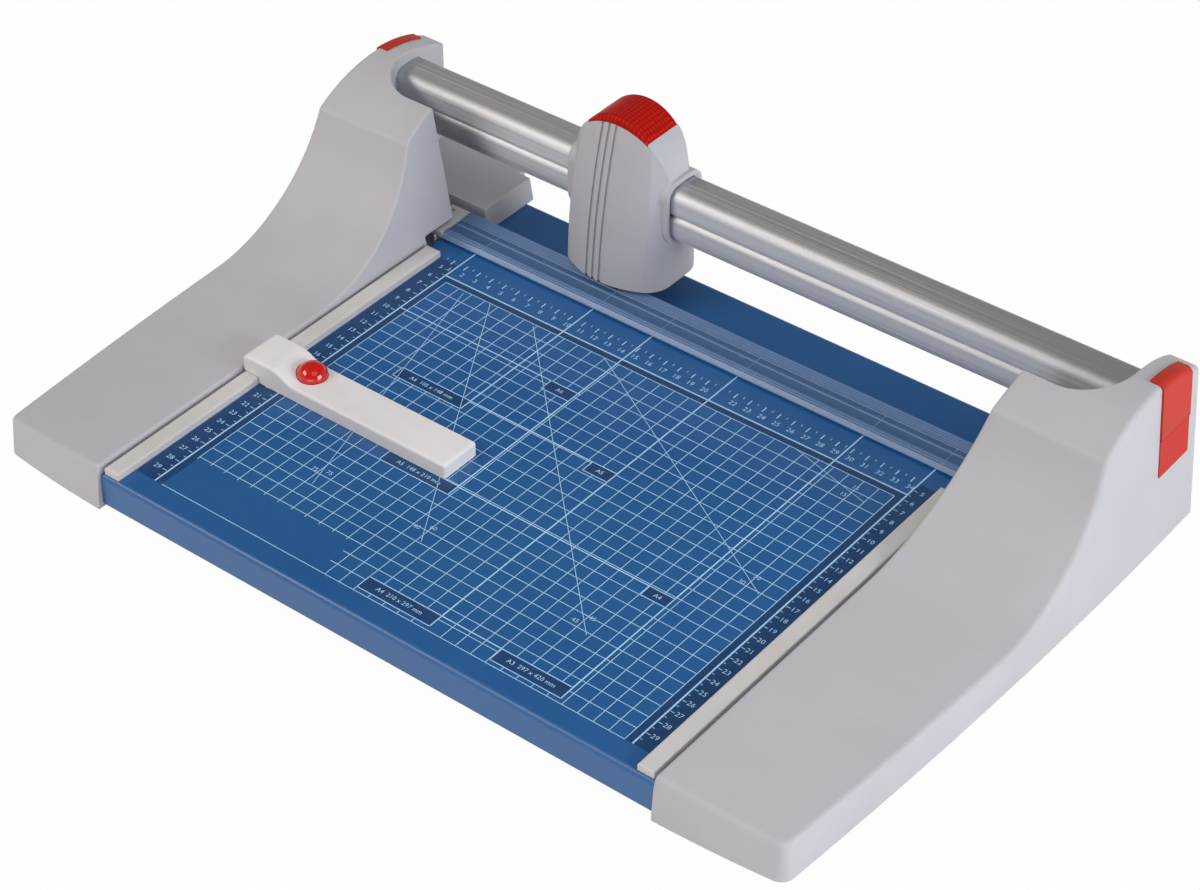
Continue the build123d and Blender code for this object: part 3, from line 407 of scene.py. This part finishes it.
def stroke(layer, start, end, width):
    """One printed line with square ends."""
    a, b = on_table(layer, *start), on_table(layer, *end)
    side = (b - a).cross(Vector((0.0, 0.0, 1.0))).normalized() * width / 2000.0
    layer["form"].faces.new([layer["form"].verts.new(p) for p in (a + side, b + side, b - side, a - side)])


def panel(layer, u0, v0, u1, v1):
    """One printed area."""
    stroke(layer, ((u0 + u1) / 2, v0), ((u0 + u1) / 2, v1), u1 - u0)


def figures(layer, text, u, v, height):
    """Printed figures, centred on a point."""
    letters = bpy.data.curves.new("figures", "FONT")
    letters.body = text
    letters.size = height / capital_share / 1000.0
    letters.resolution_u = 2
    letters.align_x, letters.align_y = "CENTER", "CENTER"
    carrier = bpy.data.objects.new("figures", letters)
    flat = bpy.data.meshes.new_from_object(carrier)
    flat.transform(Matrix.Translation(on_table(layer, u, v)))
    layer["form"].from_mesh(flat)
    bpy.data.objects.remove(carrier)
    bpy.data.curves.remove(letters)
    bpy.data.meshes.remove(flat)


def lay_down(layer, material):
    """Turn a print layer into a piece of the table, its faces upwards."""
    mesh = bpy.data.meshes.new(layer["name"])
    for face in layer["form"].faces:
        face.normal_update()
        if face.normal.z < 0:
            face.normal_flip()
    layer["form"].to_mesh(mesh)
    layer["form"].free()
    mesh.materials.append(material)
    piece = bpy.data.objects.new(layer["name"], mesh)
    scene.collection.objects.link(piece)
    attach(piece, "base")


frame_left, frame_right, frame_back = 15.0, 345.0, 55.0
grid_left, grid_right, grid_back, grid_front, grid_pitch = 20, 340, 60, 300, 10
band_left, band_right, band_back = 1.0, 357.0, 43.0
bare_right, bare_back = 135, 272
a4_width = 210
fine_line, box_line, grid_line, edge_line, format_line, frame_line = 0.4, 0.6, 0.48, 0.8, 0.9, 1.0

dark_bands = printed("table_print_bands", 0)
panel(dark_bands, band_left, band_back, frame_left, grid_front)
panel(dark_bands, frame_right, band_back, band_right, grid_front)
panel(dark_bands, frame_left, frame_back, grid_left, grid_front)
panel(dark_bands, grid_right, frame_back, frame_right, grid_front)
panel(dark_bands, grid_left, frame_back, grid_right, grid_back)

rows = printed("table_print_rows", 1)
for v in range(grid_back, grid_front + 1, grid_pitch):
    starts = bare_right if bare_back < v < grid_front else grid_left
    stroke(rows, (starts, v), (grid_right, v), grid_line)
columns = printed("table_print_columns", 2)
for u in range(grid_left, grid_right + 1, grid_pitch):
    if u != a4_width:
        stroke(columns, (u, grid_back), (u, bare_back if u < bare_right else grid_front), grid_line)

format_back = 3.0
format_ends = {105: 148, 148.5: 210, a4_width: 297, 297: 297}
formats = printed("table_print_formats", 3)
for u in (frame_left, frame_right):
    stroke(formats, (u, format_back), (u, grid_front), frame_line)
for u, v in format_ends.items():
    stroke(formats, (u, format_back), (u, v), format_line)
edges = printed("table_print_edges", 4)
stroke(edges, (frame_left, frame_back), (frame_right, frame_back), frame_line)
for u0, u1, v in ((15, 150, 96), (105, 194, 139), (148, 281, 201.5), (162, 297, 287)):
    stroke(edges, (u0, v), (u1, v), edge_line)

boxes = (
    ("A6  105 x 148 mm", 54.5, 139, 105, 148), ("A5  148 x 210 mm", 99, 201, 148.5, 210),
    ("A4  210 x 297 mm", 160, 287, 210, 297), ("A3  297 x 420 mm", 250.5, 287, 297, 297),
    ("A6", 129, 96, 148.5, 105), ("A5", 193, 139, 210, 148), ("A4", 280.5, 201.5, 297, 210),
)
box_figures = 2.9
fill = printed("table_print_boxes", 5)
words = printed("table_print_labels", 6)
for text, u0, v0, u1, v1 in boxes:
    panel(fill, u0, v0, u1, v1)
    for v in (v0, v1):
        stroke(words, (u0, v), (u1, v), box_line)
    for u in (u0, u1):
        stroke(words, (u, v0), (u, v1), box_line)
    figures(words, text, (u0 + u1) / 2, (v0 + v1) / 2, box_figures)

angles = {
    "15": (274, 60, 330, 75), "30": (139, 60, 329, 171), "45": (88, 62, 278, 252), "60": (54, 60, 163, 249),
    "75": (35, 62, 84.5, 249),
}
angle_figures, angle_figures_in, angle_figures_aside = 3.0, 12.0, 4.5
for text, (u0, v0, u1, v1) in angles.items():
    stroke(words, (u0, v0), (u1, v1), fine_line)
    along = Vector((u1 - u0, v1 - v0)).normalized()
    foot = Vector((u1, v1)) - along * angle_figures_in
    for side in (-1, 1):
        spot = foot + side * angle_figures_aside * Vector((-along.y, along.x))
        figures(words, text, spot.x, spot.y, angle_figures)

cut_scale, cut_tick, cut_half_tick, cut_line = 40.0, 44.5, 42.0, 0.75
cut_figures, cut_figures_v, cut_figures_aside = 3.6, 48.8, 2.6
for number in range(1, 35):
    u = number * 10
    stroke(words, (u, cut_scale), (u, cut_tick), cut_line)
    if u != a4_width:
        figures(words, str(number), u + cut_figures_aside, cut_figures_v, cut_figures)
    stroke(words, (u - 5, cut_scale), (u - 5, cut_half_tick), fine_line)
side_figures, side_line = 3.3, 0.45
side_scales = ((7.2, 11.0, 14.0), (351.4, 348.6, 346.0))
for number in range(5, 30):
    v = number * 10
    for figures_u, tick_out, tick_in in side_scales:
        figures(words, str(number), figures_u, v, side_figures)
        stroke(words, (tick_out, v), (tick_in, v), side_line)
        stroke(words, ((tick_out + tick_in) / 2, v + 5), (tick_in, v + 5), fine_line)

white_ink = moulded(
    "white_ink", dark=(0.38, 0.67, 0.96), light=(0.48, 0.75, 1.0), gloss=0.5,
    grain=2400.0, patch=70.0, depth=0.000004,
)
blue_ink = moulded(
    "blue_ink", dark=(0.006, 0.05, 0.165), light=(0.009, 0.062, 0.19), gloss=0.42,
    grain=900.0, patch=40.0, depth=0.000004,
)
for layer in (dark_bands, fill):
    lay_down(layer, blue_ink)
for layer in (rows, columns, formats, edges, words):
    lay_down(layer, white_ink)

# Counter blade on the step of the table: a ground steel bar, its lines along the edge, screwed on from
# the front.
ground_steel = bare_metal(
    "ground_steel", dark=(0.5, 0.51, 0.53), light=(0.66, 0.67, 0.69), gloss=0.22, stretch=(6.0, 1400.0, 1400.0),
)
dress(ground_steel, "counter_blade")

# Scale rails along both sides of the table: pale moulded plastic, smooth, a little yellowed and dulled
# where sheets and fingers slide along it.
pale_moulding = moulded(
    "pale_moulding", dark=(0.6, 0.575, 0.555), light=(0.68, 0.655, 0.64), gloss=0.46,
    grain=2000.0, patch=24.0, depth=0.000012,
)
dress(pale_moulding, "right_scale_rail", "left_scale_rail")

# Housings at both ends: hollow mouldings in light grey plastic with a fine spark-eroded grain,
# swept up from a flat arm to the tower that holds the rail.
grey_moulding = moulded(
    "grey_moulding", dark=(0.5, 0.492, 0.51), light=(0.545, 0.538, 0.558), gloss=0.52,
    grain=1500.0, patch=11.0, depth=0.000022,
)
dress(grey_moulding, "right_housing", "left_housing")

# Guide rail: an aluminium extrusion, satin anodised, brushed lengthwise before the bath. Steel plates
# and bolts hold its ends inside the housings.
anodised = bare_metal(
    "satin_anodised", dark=(0.54, 0.555, 0.585), light=(0.64, 0.655, 0.69), gloss=0.41,
    stretch=(3.0, 1100.0, 1100.0),
)
shader_of(anodised).inputs["Anisotropic"].default_value = 0.85
round_rail = anodised.node_tree.nodes.new("ShaderNodeTangent")
round_rail.direction_type = "RADIAL"
round_rail.axis = "X"
wire(anodised.node_tree, (round_rail.outputs[0], shader_of(anodised).inputs["Tangent"]))
dress(anodised, "guide_rail")
dress(zinc, "right_rail_anchor", "left_rail_anchor")

# Red clips over the housings' outer edges: moulded plastic, snapped into a shallow seat. The lower band
# is polished a little deeper, below a fine moulded step whose shade is painted on as a dark line.
red_clip = moulded(
    "red_clip_moulding", dark=(0.5, 0.034, 0.018), light=(0.58, 0.044, 0.026), gloss=0.5, grain=1700.0, patch=30.0,
)
shader_of(red_clip).inputs["Specular IOR Level"].default_value = 0.16
band_top, step_shade_half = 0.074, 0.0005
# The second entry paints a dark line along the step above the lower band, as painted shade.
clip_band_and_step_shade = (("LESS_THAN", 0.0, (0.54, 0.02, 0.008)), ("COMPARE", step_shade_half, (0.34, 0.008, 0.003)))
tree = red_clip.node_tree
red = tree.nodes["Mix"].outputs[mix_result]
apart = tree.nodes.new("ShaderNodeSeparateXYZ")
wire(tree, (own_place(tree), apart.inputs[0]))
for operation, reach, colour in clip_band_and_step_shade:
    band = tree.nodes.new("ShaderNodeMath")
    band.operation = operation
    band.inputs[1].default_value = band_top
    band.inputs[2].default_value = reach
    deeper = colour_mix(tree, colour, colour)
    wire(
        tree,
        (apart.outputs["Z"], band.inputs[0]),
        (band.outputs[0], deeper.inputs[0]),
        (red, deeper.inputs[mix_first]),
    )
    red = deeper.outputs[mix_result]
wire(tree, (red, shader_of(red_clip).inputs["Base Color"]))
dress(red_clip, "right_end_clip", "left_end_clip")

# Clamp strip: a clear extruded profile with ribs along its cutting edge and a lip at the front, pressed
# down on the paper as the head passes. Drawing marks run along it, cloudier where they lie close. Faces
# that turn from straight up, its flanks, are painted paler and more opaque than its flat middle, a painted
# reflection of the light that clear side faces catch. Moulded carriers hold its ends.
clear = bpy.data.materials.new("clear_extrusion")
clear.use_nodes = True
tree = clear.node_tree
shader = shader_of(clear)
lined = tree.nodes.new("ShaderNodeGroup")
lined.node_tree = lines_group
lined.inputs["Stretch"].default_value = (0.5, 320.0, 320.0)
lined.inputs["Gloss"].default_value = 0.1
facing = tree.nodes.new("ShaderNodeNewGeometry")
apart = tree.nodes.new("ShaderNodeSeparateXYZ")
flank_sheen_mask = tree.nodes.new("ShaderNodeMapRange")
flank_sheen_mask.inputs["From Min"].default_value = 0.95
flank_sheen_mask.inputs["From Max"].default_value = 0.4
# Faces turned from straight up get this paler colour and more alpha, as a painted reflection.
painted_sheen_colour = (0.46, 0.66, 0.97)
cloud = colour_mix(tree, (0.19, 0.36, 0.66), (0.25, 0.43, 0.74))
painted_flank_sheen = colour_mix(tree, painted_sheen_colour, painted_sheen_colour)
veil = tree.nodes.new("ShaderNodeMapRange")
veil.inputs["To Min"].default_value = 0.24
veil.inputs["To Max"].default_value = 0.31
alpha_with_flank_sheen = tree.nodes.new("ShaderNodeMath")
alpha_with_flank_sheen.operation = "MULTIPLY_ADD"
alpha_with_flank_sheen.inputs[1].default_value = 0.4
wire(
    tree,
    (facing.outputs["Normal"], apart.inputs[0]),
    (apart.outputs["Z"], flank_sheen_mask.inputs["Value"]),
    (lined.outputs["Tone"], cloud.inputs[0]),
    (lined.outputs["Tone"], veil.inputs["Value"]),
    (flank_sheen_mask.outputs["Result"], painted_flank_sheen.inputs[0]),
    (cloud.outputs[mix_result], painted_flank_sheen.inputs[mix_first]),
    (flank_sheen_mask.outputs["Result"], alpha_with_flank_sheen.inputs[0]),
    (veil.outputs["Result"], alpha_with_flank_sheen.inputs[2]),
    (painted_flank_sheen.outputs[mix_result], shader.inputs["Base Color"]),
    (alpha_with_flank_sheen.outputs[0], shader.inputs["Alpha"]),
    (lined.outputs["Roughness"], shader.inputs["Roughness"]),
)
dress(clear, "clamp_strip")
dress(grey_moulding, "right_strip_carrier", "left_strip_carrier")

# Cutting head: a moulded shell like the housings', with grey liners in its collars that slide on the
# rail, and a black shoe, plate and block below that carry the blade.
dress(grey_moulding, "head_housing", "right_slide_bush", "left_slide_bush")
dress(black_moulding, "presser_shoe", "head_base_plate", "blade_bracket", "blade_hub")
dress(zinc, "blade_axle", "blade_disc_spring", "blade_lock_ring")
dress(ground_steel, "rotary_blade")

# Red grip on the head: an insert moulded in matt red plastic with a close grid of fine ribs for the
# palm, set into the top of the shell. The ribs also paint its colour darker in the grooves between them, as
# painted shade.
grip = moulded(
    "red_grip_moulding", dark=(0.38, 0.004, 0.001), light=(0.66, 0.013, 0.004), gloss=0.5,
    patch=30.0, depth=0.00025, strength=0.7,
)
shader_of(grip).inputs["Specular IOR Level"].default_value = 0.12
tree = grip.node_tree
grip_place = own_place(tree)
ribs_and_groove_shade = tree.nodes.new("ShaderNodeMath")
ribs_and_groove_shade.operation = "MULTIPLY"
for factor, direction in zip(ribs_and_groove_shade.inputs, "XY"):
    rib = tree.nodes.new("ShaderNodeTexWave")
    rib.bands_direction = direction
    rib.inputs["Scale"].default_value = 115.0
    wire(tree, (grip_place, rib.inputs["Vector"]), (rib.outputs["Fac"], factor))
# The rib grid sets the bump and also paints the grooves darker, as painted shade.
for taker in (tree.nodes["Bump"].inputs["Height"], tree.nodes["Mix"].inputs[0]):
    wire(tree, (ribs_and_groove_shade.outputs[0], taker))
dress(grip, "grip_pad")

# Backstop: a bar moulded in pale plastic that hooks over the left scale rail, with a steel foot that
# grips behind the rail.
stop_moulding = moulded(
    "stop_moulding", dark=(0.77, 0.745, 0.735), light=(0.85, 0.825, 0.815), gloss=0.46,
    grain=1500.0, patch=26.0, depth=0.000015,
)
dress(stop_moulding, "backstop_bar")
dress(zinc, "backstop_foot")

# Release button on the backstop: a dome moulded in red plastic and polished, held in its seat by the
# bar and pushed back up by its spring.
polished_red = moulded(
    "polished_red", dark=(0.58, 0.006, 0.001), light=(0.68, 0.009, 0.002), gloss=0.12,
    grain=400.0, patch=60.0, depth=0.000002,
)
shader_of(polished_red).inputs["Coat Weight"].default_value = 0.5
shader_of(polished_red).inputs["Coat Roughness"].default_value = 0.04
dress(polished_red, "release_button")
